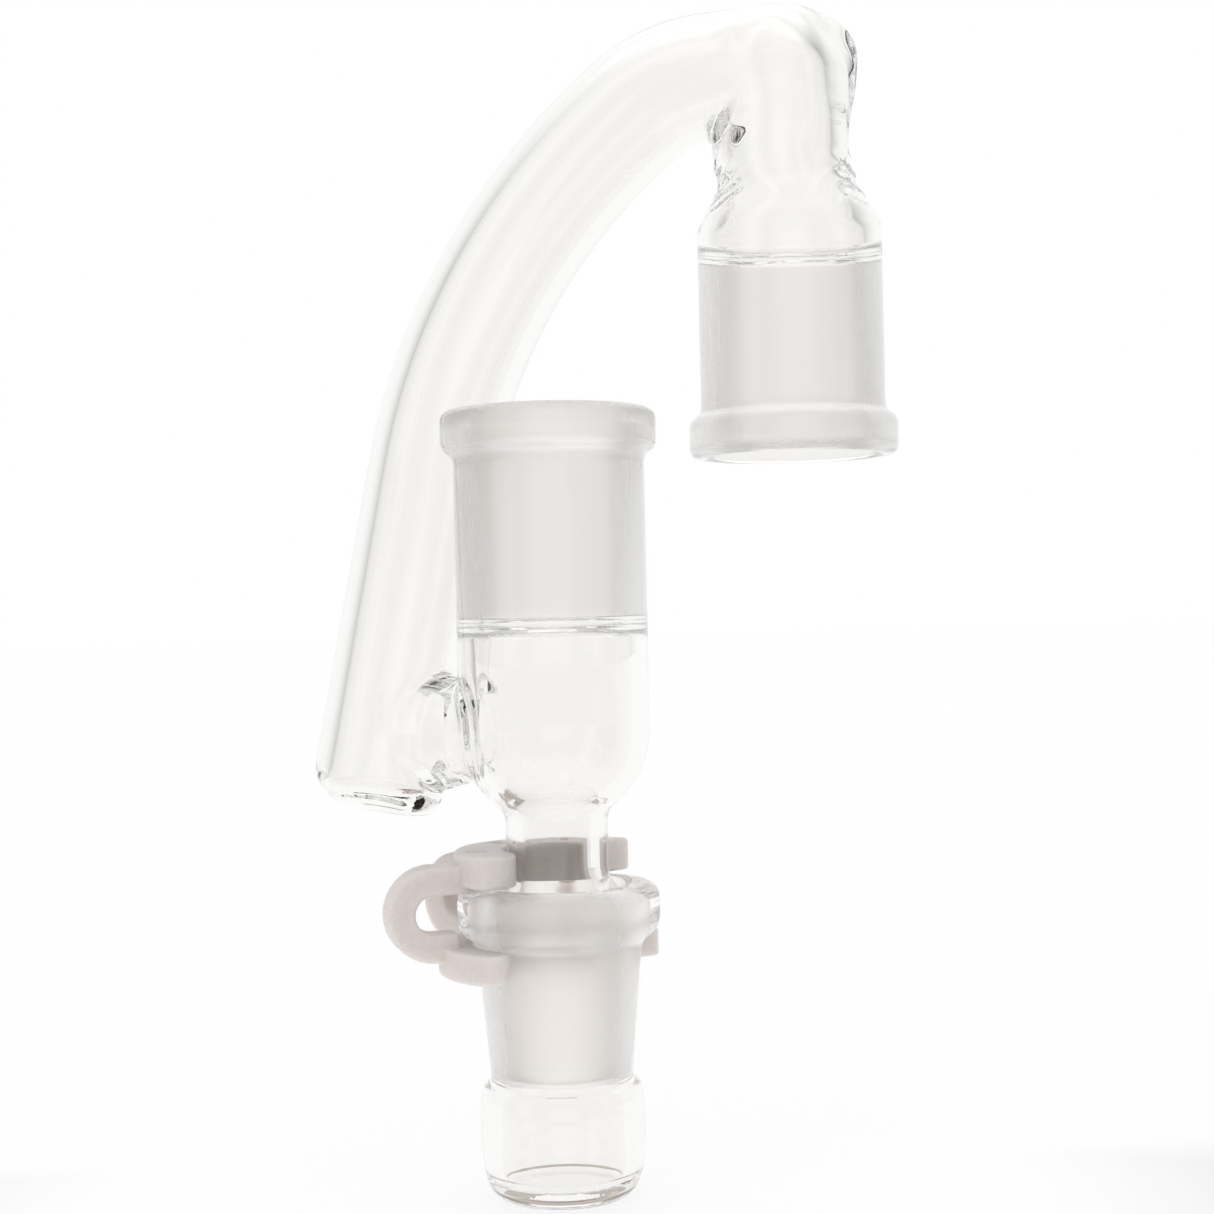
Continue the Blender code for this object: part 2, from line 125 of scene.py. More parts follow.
class Turned:
    """The distance field of a turned solid, read from a table over radius and height.

    The profile runs from the axis or its upper end, down the outside. Blurring the table
    melts its corners, as a flame does.
    """

    STEP = 0.06

    def __init__(self, profile, melt, reach=16.0):
        points = np.array(profile, float)
        low, high = points[:, 1].min() - 6, points[:, 1].max() + 6
        self.low = low
        r = np.arange(-2.0, reach, self.STEP)
        z = np.arange(low, high, self.STEP)
        self.first_r = r[0]
        radius, height = np.meshgrid(np.abs(r), z, indexing="ij")
        nearest = np.full(radius.shape, 1e9)
        crossings = np.zeros(radius.shape, int)
        for (r0, z0), (r1, z1) in zip(points, points[1:]):
            dr, dz = r1 - r0, z1 - z0
            along = np.clip(((radius - r0) * dr + (height - z0) * dz) / (dr * dr + dz * dz), 0, 1)
            away = (radius - r0 - along * dr) ** 2 + (height - z0 - along * dz) ** 2
            nearest = np.minimum(nearest, away)
            if z0 != z1:
                spans = (height >= min(z0, z1)) & (height < max(z0, z1))
                edge = r0 + (height - z0) * dr / dz
                crossings += spans & (edge > radius)
        table = np.sqrt(nearest) * np.where(crossings % 2, -1, 1)
        self.table = blurred(table, melt / self.STEP)

    def __call__(self, r, z):
        table = self.table
        rows, columns = table.shape
        row = np.clip((r - self.first_r) / self.STEP, 0, rows - 1.001)
        column = np.clip((z - self.low) / self.STEP, 0, columns - 1.001)
        past_ends = np.abs((z - self.low) / self.STEP - column) * self.STEP
        i, j = row.astype(np.int32), column.astype(np.int32)
        out, up = row - i, column - j
        lower = table[i, j] * (1 - out) + table[i + 1, j] * out
        upper = table[i, j + 1] * (1 - out) + table[i + 1, j + 1] * out
        return lower * (1 - up) + upper * up + past_ends


def blurred(table, width):
    reach = int(3 * width) + 1
    weights = np.exp(-0.5 * (np.arange(-reach, reach + 1) / width) ** 2)
    weights /= weights.sum()
    for axis in (0, 1):
        margins = [(0, 0), (0, 0)]
        margins[axis] = (reach, reach)
        padded = np.pad(table, margins, "edge")
        size = table.shape[axis]
        table = sum(weight * np.take(padded, range(start, start + size), axis)
                    for start, weight in enumerate(weights))
    return table


def rolled_rim(mouth, inward, tube_r):
    """The outside of a socket's rim, from its mouth to the tube."""
    def at(radius, depth):
        return radius, mouth + inward * depth

    crest, corner, mouth_r = 12.57, 1.1, 10.3
    turn = -inward * 90
    top = arc(crest - corner, mouth + inward * corner, corner, turn, 0, 8)
    return [at(mouth_r, 0)] + top + [at(crest, 3.9), at(12.4, 4.5), at(11.9, 4.9), at(11.4, 5.2),
                                  at(tube_r, 6.0)]


def ground_bore(mouth, inward, ground_end):
    """A socket's bore, from its flared mouth along the ground taper to its inner end."""
    ground_start = ground_end - inward * GROUND_LENGTH
    large_r = 9.4
    return [(10.9, mouth - inward * 3), (10.6, mouth - inward * 0.2), (9.9, mouth + inward * 0.8),
            (large_r, ground_start), (large_r - TAPER * GROUND_LENGTH, ground_end)]


def rounded(faces, edge):
    """Where several faces' insides meet, with round edges."""
    past = [face + edge for face in faces]
    outside = np.sqrt(sum(np.maximum(face, 0) ** 2 for face in past))
    within = past[0]
    for face in past[1:]:
        within = np.maximum(within, face)
    return outside + np.minimum(within, 0) - edge


def turn_of(x, y, axis):
    return np.hypot(x - axis[0], y - axis[1])


# ---------------------------------------------------------------- the adapter's glass

TUBE_R = 11.1
NECK_R = 5.95
ELBOW_R = 8.25
HANG_WALL = 2.15
SHOULDER_Z = HANG_GROUND_END + 2.6
HANG_RING_Z = HANG_GROUND_END - 0.9
RING_SLOPE = 0.25        # the hanging socket's inner ring leans, higher at the back
SHOULDER_RISE = 6.4
CONE_TOP = 34.6
CONE_R = 7.2
CROWN_BULGE = (7.8, 7.7)       # the crown's radii, level and from front to back
CROWN_BULGE_RISE = (5.9, 13.0)     # and upwards and downwards
CROWN_BULGE_PLACE = (30.3, 133.6)
BULB_Z = 54.0
NECK_FILLET = (8.15, 43.49)    # centre of the round between the bulb and the neck
BRIDGE_Z = 53.6
BRIDGE_R = (5.9, 6.8)          # at the column and at the arm
BRIDGE_BORE_R = (4.4, 4.9)


def column_outside():
    rim = rolled_rim(COLUMN_MOUTH, -1, TUBE_R)
    shoulder = arc(0, BULB_Z, TUBE_R, 0, -52)
    neck = arc(NECK_FILLET[0], NECK_FILLET[1], 2.2, 128, 180, 8)
    neck += [(NECK_R, 36.9), (6.5, 36.2)]
    large_r = CONE_R - TAPER * 0.3
    tip_r = large_r - TAPER * (CONE_TOP - CONE_TIP)
    cone = [(large_r - 0.15, 35.4), (large_r, CONE_TOP), (tip_r, CONE_TIP), (0, CONE_TIP)]
    return Turned([(0, COLUMN_MOUTH)] + rim + shoulder + neck + cone, 0.22)


def ring_ledge(end, inward):
    """The bead and step left in a bore where its ground length ends."""
    steps = [(8.0, 0.1), (7.7, 0.35), (7.6, 0.65), (7.75, 1.0), (8.3, 1.35), (8.8, 1.65),
             (9.0, 2.1)]
    return [(r, end + inward * depth) for r, depth in steps]


def column_inside():
    bore = ground_bore(COLUMN_MOUTH, -1, COLUMN_GROUND_END)
    chamber_r = TUBE_R - 2.03
    chamber = ring_ledge(COLUMN_GROUND_END, -1) + arc(0, BULB_Z, chamber_r, 0, -52)
    neck = arc(NECK_FILLET[0], NECK_FILLET[1], 4.23, 128, 180, 8)
    neck += [(3.9, 38.0), (4.3, 36.6), (5.2, 33.6)]
    tip = [(4.55, CONE_TIP + 0.4), (4.75, CONE_TIP - 0.6), (4.75, CONE_TIP - 3), (0, CONE_TIP - 3)]
    return Turned([(0, COLUMN_MOUTH + 3)] + bore + chamber + neck + tip, 0.14)


def dome(foot_z, radius, rise):
    """A profile's closed round top, from the axis down to its foot."""
    angles = np.linspace(pi / 2, 0, 17)
    return [(radius * cos(a), foot_z + rise * sin(a)) for a in angles]


def hanging_shoulder():
    """The outside of the shoulder, from the neck down to the socket."""
    rise = np.linspace(1, 0, 17)
    share = rise * rise * (3 - 2 * rise)
    return np.stack([TUBE_R + (ELBOW_R - TUBE_R) * share, SHOULDER_Z + SHOULDER_RISE * rise], axis=1)


def hanging_outside():
    rim = rolled_rim(HANG_MOUTH, 1, TUBE_R)
    neck = dome(133.8, ELBOW_R, 5.6)
    shoulder = [tuple(point) for point in hanging_shoulder()]
    return Turned(neck + shoulder + rim[::-1] + [(0, HANG_MOUTH)], 0.25)


def hanging_inside():
    """The socket's bore, and the shoulder and neck one wall inside their outside."""
    bore = ground_bore(HANG_MOUTH, 1, HANG_RING_Z)[::-1]
    outside = hanging_shoulder()
    along = np.gradient(outside, axis=0)
    along /= np.linalg.norm(along, axis=1)[:, None]
    inward = np.stack([along[:, 1], -along[:, 0]], axis=1)
    shoulder = [tuple(point) for point in outside + HANG_WALL * inward]
    ledge = ring_ledge(HANG_RING_Z, 1)[::-1]
    return Turned(dome(131.8, ELBOW_R - HANG_WALL, 6.1) + shoulder + ledge + bore
                  + [(0, HANG_MOUTH - 3)], 0.14)


class Arm:
    """The bent arm: distances from its axis, and how far along its foot a point is."""

    def __init__(self):
        self.side = np.array([cos(ARM_HEADING), sin(ARM_HEADING), 0.0])
        back = np.array([-sin(ARM_HEADING), cos(ARM_HEADING), 0.0])
        self.rise = np.array([0.0, 0.0, cos(ARM_TILT)]) + back * sin(ARM_TILT)
        self.normal = np.cross(self.side, self.rise)
        self.crown_end = np.array([*HANG_AXIS, ARM_LEVEL_Z]) - self.side * ARM_LEVEL
        self.crown_centre = np.array([0.0, -CROWN_R])
        meeting = self.crown_centre + CROWN_R * self.outward(CROWN_LEAN)
        self.bend_centre = meeting - BEND_R * self.outward(CROWN_LEAN)
        self.straight_top = self.bend_centre + BEND_R * self.outward(ARM_LEAN)
        self.straight_way = np.array([sin(ARM_LEAN), cos(ARM_LEAN)])
        self.direction = self.side * sin(ARM_LEAN) + self.rise * cos(ARM_LEAN)
        foot = self.straight_top - self.straight_way * ARM_STRAIGHT
        self.foot = self.crown_end + self.side * foot[0] + self.rise * foot[1]

    @staticmethod
    def outward(lean):
        return np.array([-cos(lean), sin(lean)])

    def in_plane(self, x, y, z):
        dx, dy, dz = x - self.crown_end[0], y - self.crown_end[1], z - self.crown_end[2]
        return [dx * way[0] + dy * way[1] + dz * way[2]
                for way in (self.side, self.rise, self.normal)]

    @staticmethod
    def from_bend(a, b, centre, radius, low, high):
        lean = np.clip(np.arctan2(b - centre[1], centre[0] - a), low, high)
        return np.hypot(a - centre[0] + radius * np.cos(lean),
                        b - centre[1] - radius * np.sin(lean))

    def from_axis(self, x, y, z, level_end):
        """Distance from the arm's axis, whose level stretch runs on to level_end."""
        a, b, c = self.in_plane(x, y, z)
        level = np.hypot(a - np.clip(a, 0, level_end), b)
        crown = self.from_bend(a, b, self.crown_centre, CROWN_R, CROWN_LEAN, pi / 2)
        bend = self.from_bend(a, b, self.bend_centre, BEND_R, ARM_LEAN, CROWN_LEAN)
        down = a - self.straight_top[0], b - self.straight_top[1]
        along = down[0] * self.straight_way[0] + down[1] * self.straight_way[1]
        along = np.clip(along, -ARM_STRAIGHT - 20, 0)
        straight = np.hypot(down[0] - along * self.straight_way[0],
                            down[1] - along * self.straight_way[1])
        flat = np.minimum(np.minimum(level, crown), np.minimum(bend, straight))
        return np.hypot(flat, c)

    def above_foot(self, x, y, z):
        return ((x - self.foot[0]) * self.direction[0] + (y - self.foot[1]) * self.direction[1]
                + (z - self.foot[2]) * self.direction[2])


def rounded_end(beyond, below, corner):
    """A round tube's flat end with a round corner, from radius and height past the end."""
    out = np.maximum(beyond + corner, 0)
    down = np.maximum(below + corner, 0)
    return np.hypot(out, down) - corner + np.minimum(np.maximum(beyond, below) + corner, 0)


class Adapter:
    """One fused piece of glass: its outside less its bores."""

    def __init__(self):
        self.arm = Arm()
        self.column_outside = column_outside()
        self.column_inside = column_inside()
        self.hanging_outside = hanging_outside()
        self.hanging_inside = hanging_inside()
        axis = self.arm.direction
        target = self.arm.foot + axis * ((BRIDGE_Z - self.arm.foot[2]) / axis[2])
        self.bridge_length = np.hypot(*target[:2])
        self.bridge_way = target[:2] / self.bridge_length
        self.elbow = HANG_AXIS - self.arm.side[:2] * 0.85

    def bridge(self, x, y, z, radii, reach):
        along = x * self.bridge_way[0] + y * self.bridge_way[1]
        across = y * self.bridge_way[0] - x * self.bridge_way[1]
        share = np.clip((along - TUBE_R) / (self.bridge_length - TUBE_R - ARM_R), 0, 1)
        radius = radii[0] + (radii[1] - radii[0]) * share
        tube = np.hypot(across, z - BRIDGE_Z) - radius
        low, high = reach
        return np.maximum(tube, np.maximum(low - along, along - high))

    def foot_corner(self, x, y):
        """The foot's corner is widest on the side away from the column."""
        dx, dy = x - self.arm.foot[0], y - self.arm.foot[1]
        away = -(dx * self.bridge_way[0] + dy * self.bridge_way[1]) / (np.hypot(dx, dy) + 2.0)
        return 3.6 - 1.9 * away

    def neck_place(self, x, y, z):
        """The neck stands a little off the hanging socket's axis, towards the arm."""
        share = np.clip((z - 117) / 6, 0, 1)
        share = share * share * (3 - 2 * share)
        shift = share[..., None] * (self.elbow - HANG_AXIS)
        return x - shift[..., 0], y - shift[..., 1]

    def puckers(self, x, y, z, height):
        """Uneven glass at both sides of the neck, where the elbow was sealed on."""
        turn = np.arctan2(y - self.elbow[1], x - self.elbow[0])
        near = np.exp(-((z - height) / 2.6) ** 2) * np.cos(turn) ** 4
        waves = np.sin(7 * turn + 2.1 * z) + 0.8 * np.sin(13 * turn - 2.9 * z + 1.0)
        return 0.13 * near * waves

    def lean_ring(self, y, z):
        """Heights as if the hanging socket's inner ring were level."""
        near = np.clip(1 - np.abs(z - HANG_RING_Z) / 5.5, 0, 1)
        return z - RING_SLOPE * (y - HANG_AXIS[1]) * near * near * (3 - 2 * near)

    def outside(self, x, y, z):
        column = self.column_outside(turn_of(x, y, (0, 0)), z)
        nx, ny = self.neck_place(x, y, z)
        hanging = self.hanging_outside(turn_of(nx, ny, HANG_AXIS), z)
        hanging = hanging + self.puckers(x, y, z, 118.8)
        crown_x, crown_z = CROWN_BULGE_PLACE
        tall = np.where(z > crown_z, *CROWN_BULGE_RISE)
        crown = ellipsoid(x, y, z, (crown_x, self.elbow[1], crown_z), (*CROWN_BULGE, tall))
        hanging = smooth_min(hanging, crown, 1.0)
        arm = self.arm.from_axis(x, y, z, ARM_LEVEL - 2.0) - ARM_R
        arm = rounded_end(arm, -self.arm.above_foot(x, y, z), self.foot_corner(x, y))
        bridge = self.bridge(x, y, z, BRIDGE_R, (5.0, self.bridge_length))
        glass = smooth_min(hanging, arm, 1.6)
        glass = smooth_min(glass, bridge, 1.3)
        return smooth_min(glass, smooth_min(column, bridge, 1.6), 0.4)

    def inside(self, x, y, z):
        column = self.column_inside(turn_of(x, y, (0, 0)), z)
        nx, ny = self.neck_place(x, y, z)
        hanging = self.hanging_inside(turn_of(nx, ny, HANG_AXIS), self.lean_ring(y, z))
        hanging = hanging + self.puckers(x, y, z, 118.0)
        arm = self.arm.from_axis(x, y, z, ARM_LEVEL - 3.0) - ARM_BORE_R
        arm = rounded_end(arm, 1.9 - self.arm.above_foot(x, y, z), 1.6)
        bridge = self.bridge(x, y, z, BRIDGE_BORE_R, (7.0, self.bridge_length - 3.0))
        bores = smooth_min(smooth_min(hanging, arm, 1.2), bridge, 1.0)
        return smooth_min(bores, smooth_min(column, bridge, 1.0), 0.3)

    def __call__(self, x, y, z):
        return smooth_max(self.outside(x, y, z), -self.inside(x, y, z), 0.35)


def ellipsoid(x, y, z, centre, radii):
    """Roughly the distance from an ellipsoid."""
    parts = [(at - middle) / radius for at, middle, radius in zip((x, y, z), centre, radii)]
    size = np.sqrt(sum(part * part for part in parts))
    steep = np.sqrt(sum((part / radius) ** 2 for part, radius in zip(parts, radii))) + 1e-6
    return size * (size - 1) / steep


# ---------------------------------------------------------------- the cup

CUP_RIM_R = 11.8
CUP_RIM_ROUND = 1.7
CUP_BORE_R = 7.25
CUP_GROUND_LENGTH = 20.4
CUP_FLOOR = 2.2


class Cup:
    """The collecting cup: a ground socket on a blown bowl with a thick flat base."""

    def __init__(self):
        rim = CUP_MOUTH - CUP_RIM_ROUND
        waist_r = CUP_BORE_R - TAPER * CUP_GROUND_LENGTH
        outside = [(0, CUP_MOUTH), (9.6, CUP_MOUTH)]
        outside += arc(CUP_RIM_R - CUP_RIM_ROUND, rim, CUP_RIM_ROUND, 75, 0, 6)
        outside += [(CUP_RIM_R, 32.0), (11.6, 31.2), (11.1, 30.5), (10.4, 29.9), (9.75, 29.2),
                    (9.4, 27.0), (8.25, CUP_WAIST + 0.7), (8.2, CUP_WAIST + 0.2),
                    (8.55, CUP_WAIST - 0.4), (9.0, 13.2), (9.38, 12.0), (9.58, 10.6), (9.66, 9.0),
                    (9.64, 7.3), (9.45, 5.0), (9.15, 2.9), (8.7, 1.5), (7.9, 0.5), (6.9, 0.0),
                    (0, 0)]
        inside = [(0, CUP_MOUTH + 3), (8.8, CUP_MOUTH + 3), (8.6, CUP_MOUTH + 0.2),
                  (7.9, CUP_MOUTH - 0.6), (CUP_BORE_R, rim), (waist_r, rim - CUP_GROUND_LENGTH),
                  (6.5, 13.4), (6.85, 12.0), (7.05, 10.4), (7.1, 9.0), (7.1, 4.6), (7.05, 4.0)]
        inside += arc(5.6, 3.6, 1.4, 0, -86, 8) + [(3.0, CUP_FLOOR), (0, CUP_FLOOR)]
        self.outer = Turned(outside, 0.25)
        self.inner = Turned(inside, 0.22)

    def __call__(self, x, y, z):
        r = np.hypot(x, y)
        return smooth_max(self.outer(r, z), -self.inner(r, z), 0.3)


# ---------------------------------------------------------------- the clip

class Clip:
    """One plastic moulding: two open plates held apart by three bows."""

    BACK = radians(140)      # from the column's axis to the middle of its back
    EDGE = 0.45              # round edges
    UPPER_PLATE = (6.25, 12.0), (95, 75), (36.5, 40.3)      # radii, spans, heights
    LOWER_PLATE = (10.1, 14.0), (108, 93), (26.2, 29.6)
    BOW_TURNS = np.radians([-56, 0, 56])
    BOW_HEIGHTS = 28.0, 39.0
    BOW_REACH = 20.4
    BOW_BAND = 3.3
    BOW_HALF_WIDTH = 1.9
    PIT_PLACE, PIT_FLOOR = 9.6, 39.6
    PIT_HALF_SIZE = 1.2, 0.8

    def plate(self, r, turn, z, radii, spans, heights):
        """A flat open ring; the spans are degrees to its square tip and to its round one."""
        middle, half = (radii[0] + radii[1]) / 2, (radii[1] - radii[0]) / 2
        square_span, round_span = np.radians(spans)
        low, high = heights
        past = np.clip(turn - round_span, 0, None)
        reach = np.hypot(r * np.cos(past) - middle, r * np.sin(past))
        ring = np.where(past > 0, reach, np.abs(r - middle)) - half
        cut = np.where(turn < 0, -turn - square_span, -1.0) * r
        return rounded((ring, cut, np.maximum(low - z, z - high)), self.EDGE)

    def bow(self, across, out, z):
        """A lying U whose round end points out."""
        low, high = self.BOW_HEIGHTS
        middle, outer_r = (low + high) / 2, (high - low) / 2
        past_bend, above = out - (self.BOW_REACH - outer_r), z - middle
        bent = np.where(past_bend > 0, np.hypot(past_bend, above), np.abs(above))
        strip = np.abs(bent - (outer_r - self.BOW_BAND / 2)) - self.BOW_BAND / 2
        root = np.where(above > 0, 10.8, CUP_RIM_R + 0.3)
        return rounded((strip, root - out, np.abs(across) - self.BOW_HALF_WIDTH), self.EDGE)

    def pit(self, across, out, z):
        long, wide = self.PIT_HALF_SIZE
        faces = np.abs(out - self.PIT_PLACE) - long, np.abs(across) - wide, self.PIT_FLOOR - z
        return rounded(faces, 0.15)

    def __call__(self, x, y, z):
        ax = x * cos(self.BACK) + y * sin(self.BACK)
        ay = y * cos(self.BACK) - x * sin(self.BACK)
        r, turn = np.hypot(ax, ay), np.arctan2(ay, ax)
        clip = np.minimum(self.plate(r, turn, z, *self.UPPER_PLATE),
                          self.plate(r, turn, z, *self.LOWER_PLATE))
        for bow_turn in self.BOW_TURNS:
            out = ax * cos(bow_turn) + ay * sin(bow_turn)
            across = ay * cos(bow_turn) - ax * sin(bow_turn)
            clip = smooth_min(clip, self.bow(across, out, z), 0.5)
            clip = smooth_max(clip, -self.pit(across, out, z), 0.2)
        return clip


# ---------------------------------------------------------------- meshes

def graded_line(low, high, cell, bands):
    """Steps of one cell from low to high, finer within the bands (start, end, step)."""
    places = [low]
    while places[-1] < high:
        here = places[-1]
        steps = [step for start, end, step in bands if start <= here < end]
        places.append(here + min(steps + [cell]))
    return np.array(places)


def surface_nets(field, low, high, cell, bands):
    """Points and quads of the field's zero surface, one point in each cell that it crosses."""
    lines = [graded_line(start, end, cell, finer)
             for start, end, finer in zip(low, high, ([], [], bands))]
    counts = [len(line) for line in lines]
    values = np.empty(counts, np.float32)
    y, z = np.meshgrid(lines[1], lines[2], indexing="ij")
    for start in range(0, counts[0], 16):
        x = lines[0][start:start + 16, None, None]
        shape = (len(x), *y.shape)
        values[start:start + 16] = field(np.broadcast_to(x, shape), np.broadcast_to(y, shape),
                                         np.broadcast_to(z, shape))
    inside = values < 0
    cells = [n - 1 for n in counts]
    total = np.zeros((*cells, 3), np.float32)
    hits = np.zeros(cells, np.uint8)
    edges = []
    for axis in range(3):
        first = [slice(None)] * 3
        second = [slice(None)] * 3
        first[axis], second[axis] = slice(0, -1), slice(1, None)
        a, b = values[tuple(first)], values[tuple(second)]
        cross = inside[tuple(first)] != inside[tuple(second)]
        where = np.argwhere(cross)
        share = a[cross] / (a[cross] - b[cross])
        place = where.astype(np.float32)
        place[:, axis] += share
        edges.append((axis, where, inside[tuple(first)][cross]))
        others = [n for n in range(3) if n != axis]
        for step_1 in (0, 1):
            for step_2 in (0, 1):
                cell_of = where.copy()
                cell_of[:, others[0]] -= step_1
                cell_of[:, others[1]] -= step_2
                keep = np.all((cell_of >= 0) & (cell_of < cells), axis=1)
                index = tuple(cell_of[keep].T)
                np.add.at(total, index, place[keep])
                np.add.at(hits, index, 1)
    used = hits > 0
    number = np.full(cells, -1, np.int64)
    number[used] = np.arange(used.sum())
    points = total[used] / hits[used][:, None]
    points = np.stack([np.interp(points[:, axis], np.arange(counts[axis]), lines[axis])
                       for axis in range(3)], axis=1)
    quads = []
    for axis, where, starts_inside in edges:
        one, two = [(axis + 1) % 3, (axis + 2) % 3]
        ring = []
        for step_1, step_2 in ((0, 0), (1, 0), (1, 1), (0, 1)):
            cell_of = where.copy()
            cell_of[:, one] -= step_1
            cell_of[:, two] -= step_2
            ring.append(cell_of)
        keep = np.all([np.all((corner >= 0) & (corner < cells), axis=1) for corner in ring], axis=0)
        faces = np.stack([number[tuple(corner[keep].T)] for corner in ring], axis=1)
        faces[~starts_inside[keep]] = faces[~starts_inside[keep]][:, ::-1]
        quads.append(faces)
    return points, np.concatenate(quads)


def slope(field, points, step):
    x, y, z = points.T
    return np.stack([
        field(x + step, y, z) - field(x - step, y, z),
        field(x, y + step, z) - field(x, y - step, z),
        field(x, y, z + step) - field(x, y, z - step),
    ], axis=1) / (2 * step)


def mesh_of(name, field, low, high, cell, bands=()):
    """An object whose points lie on the field's zero surface, with the field's own normals."""
    points, quads = surface_nets(field, low, high, cell, bands)
    for _ in range(4):
        way = slope(field, points, 0.06)
        steep = np.maximum((way ** 2).sum(1), 0.05)
        move = way * (field(*points.T) / steep)[:, None]
        size = np.maximum(np.linalg.norm(move, axis=1), 1e-9)
        points -= move * np.minimum(1, cell * 0.5 / size)[:, None]
    normals = slope(field, points, 0.08)
    normals /= np.maximum(np.linalg.norm(normals, axis=1), 1e-9)[:, None]
    mesh = bpy.data.meshes.new(name)
    mesh.from_pydata(((points + base) * MM).tolist(), [], quads.tolist())
    mesh.validate()
    mesh.shade_smooth()
    mesh.normals_split_custom_set_from_vertices(normals.tolist())
    thing = bpy.data.objects.new(name, mesh)
    bpy.context.scene.collection.objects.link(thing)
    return thing


# ---------------------------------------------------------------- materials

def new_material(name):
    material = bpy.data.materials.new(name)
    material.use_nodes = True
    return material, material.node_tree, material.node_tree.nodes["Principled BSDF"]


def set_inputs(shader, **values):
    """Sets inputs by name, with _ for each space; a node's output is linked instead."""
    for name, value in values.items():
        socket = shader.inputs[name.replace("_", " ")]
        if isinstance(value, bpy.types.NodeSocket):
            shader.id_data.links.new(value, socket)
        else:
            socket.default_value = value


def math_node(tree, operation, first, second=None):
    node = tree.nodes.new("ShaderNodeMath")
    node.operation = operation
    for socket, value in zip(node.inputs, (first, second)):
        if value is None:
            continue
        if isinstance(value, (int, float)):
            socket.default_value = value
        else:
            tree.links.new(value, socket)
    return node.outputs[0]


def smooth_step(tree, value, low, high):
    node = tree.nodes.new("ShaderNodeMapRange")
    node.interpolation_type = "SMOOTHSTEP"
    tree.links.new(value, node.inputs["Value"])
    node.inputs["From Min"].default_value = low
    node.inputs["From Max"].default_value = high
    return node.outputs["Result"]


def level_distance(tree, x, y):
    """How far from the vertical axis."""
    squares = math_node(tree, "ADD", math_node(tree, "MULTIPLY", x, x),
                        math_node(tree, "MULTIPLY", y, y))
    return math_node(tree, "SQRT", squares)


def scaled(tree, value, size, start):
    """The value times a size, from a start."""
    return math_node(tree, "ADD", math_node(tree, "MULTIPLY", value, size), start)


def noise(tree, place, scale, detail):
    node = tree.nodes.new("ShaderNodeTexNoise")
    node.inputs["Scale"].default_value = scale
    node.inputs["Detail"].default_value = detail
    tree.links.new(place, node.inputs["Vector"])
    return node.outputs[0]


def mixed(tree, share, first, second):
    node = tree.nodes.new("ShaderNodeMix")
    node.data_type = "RGBA"
    tree.links.new(share, node.inputs["Factor"])
    set_inputs(node, A=first, B=second)
    return node.outputs["Result"]


def zone_of(tree, place, axis, heights, radii, lean):
    """1 between the heights and the radii round a vertical axis; the top may lean back."""
    split = tree.nodes.new("ShaderNodeSeparateXYZ")
    tree.links.new(place, split.inputs[0])
    dx = math_node(tree, "SUBTRACT", split.outputs[0], float(axis[0] + base[0]) * MM)
    dy = math_node(tree, "SUBTRACT", split.outputs[1], float(axis[1] + base[1]) * MM)
    r = level_distance(tree, dx, dy)
    z = split.outputs[2]
    leaning = math_node(tree, "SUBTRACT", z, math_node(tree, "MULTIPLY", dy, lean))
    low, high = [float(height + base[2]) * MM for height in heights]
    zone = math_node(tree, "GREATER_THAN", z, low)
    zone = math_node(tree, "MULTIPLY", zone, math_node(tree, "LESS_THAN", leaning, high))
    zone = math_node(tree, "MULTIPLY", zone, math_node(tree, "GREATER_THAN", r, radii[0] * MM))
    return math_node(tree, "MULTIPLY", zone, math_node(tree, "LESS_THAN", r, radii[1] * MM))


CLEAR_TINT = (0.966, 0.961, 0.948, 1.0)
GROUND_TINT = (0.90, 0.878, 0.862, 1.0)
NESTED_TINT = (0.955, 0.935, 0.92, 1.0)     # ground glass inside ground glass
PAINTED_SHADE_TINT = (0.27, 0.225, 0.185, 1.0)       # painted shade: a dark band where the thick foot is seen edge-on
GROUND_ROUGH = 0.38
NESTED_ROUGH = 0.5
GLASS_IOR = 1.473


def glass_material(name, zones):
    """Clear borosilicate glass; each zone has its own tint and its own mean roughness."""
    material, tree, shader = new_material(name)
    place = tree.nodes.new("ShaderNodeTexCoord").outputs["Object"]
    colour = CLEAR_TINT
    ground = 0.0
    for zone, tint, grind in zones:
        found = zone_of(tree, place, *zone)
        colour = mixed(tree, found, colour, tint)
        ground = math_node(tree, "MAXIMUM", math_node(tree, "MULTIPLY", found, grind), ground)
    grain = noise(tree, place, 2600.0, 3.0)
    rough = math_node(tree, "MULTIPLY", ground, scaled(tree, grain, 0.42, 0.79))
    # Painted light: the ground zones glow faintly, which brightens the frosting.
    ground_painted_glow = smooth_step(tree, ground, GROUND_ROUGH + 0.02, GROUND_ROUGH + 0.07)
    set_inputs(shader, Base_Color=colour, Roughness=rough, IOR=GLASS_IOR,
               Emission_Strength=math_node(tree, "MULTIPLY", ground_painted_glow, 0.065),
               Emission_Color=(1.0, 0.96, 0.93, 1.0), Transmission_Weight=1.0)
    return material


def plastic_material():
    """White acetal: a little light goes in, its skin is finely mottled, and it glows faintly with
    painted light.
    """
    material, tree, shader = new_material("clip_acetal")
    place = tree.nodes.new("ShaderNodeTexCoord").outputs["Object"]
    grain = noise(tree, place, 1800.0, 4.0)
    bump = tree.nodes.new("ShaderNodeBump")
    set_inputs(bump, Strength=0.25, Distance=0.00008, Height=grain)
    mottle = mixed(tree, grain, (0.66, 0.60, 0.57, 1.0), (0.78, 0.73, 0.705, 1.0))
    set_inputs(shader, Base_Color=mottle, Roughness=scaled(tree, grain, 0.2, 0.34),
               # The emission is painted light, which brightens the clip where it lies in shade.
               Normal=bump.outputs[0], Emission_Color=(1.0, 0.93, 0.89, 1.0),
               Emission_Strength=0.05, Subsurface_Weight=0.8,
               Subsurface_Radius=(1.0, 0.93, 0.9), Subsurface_Scale=0.0025)
    return material


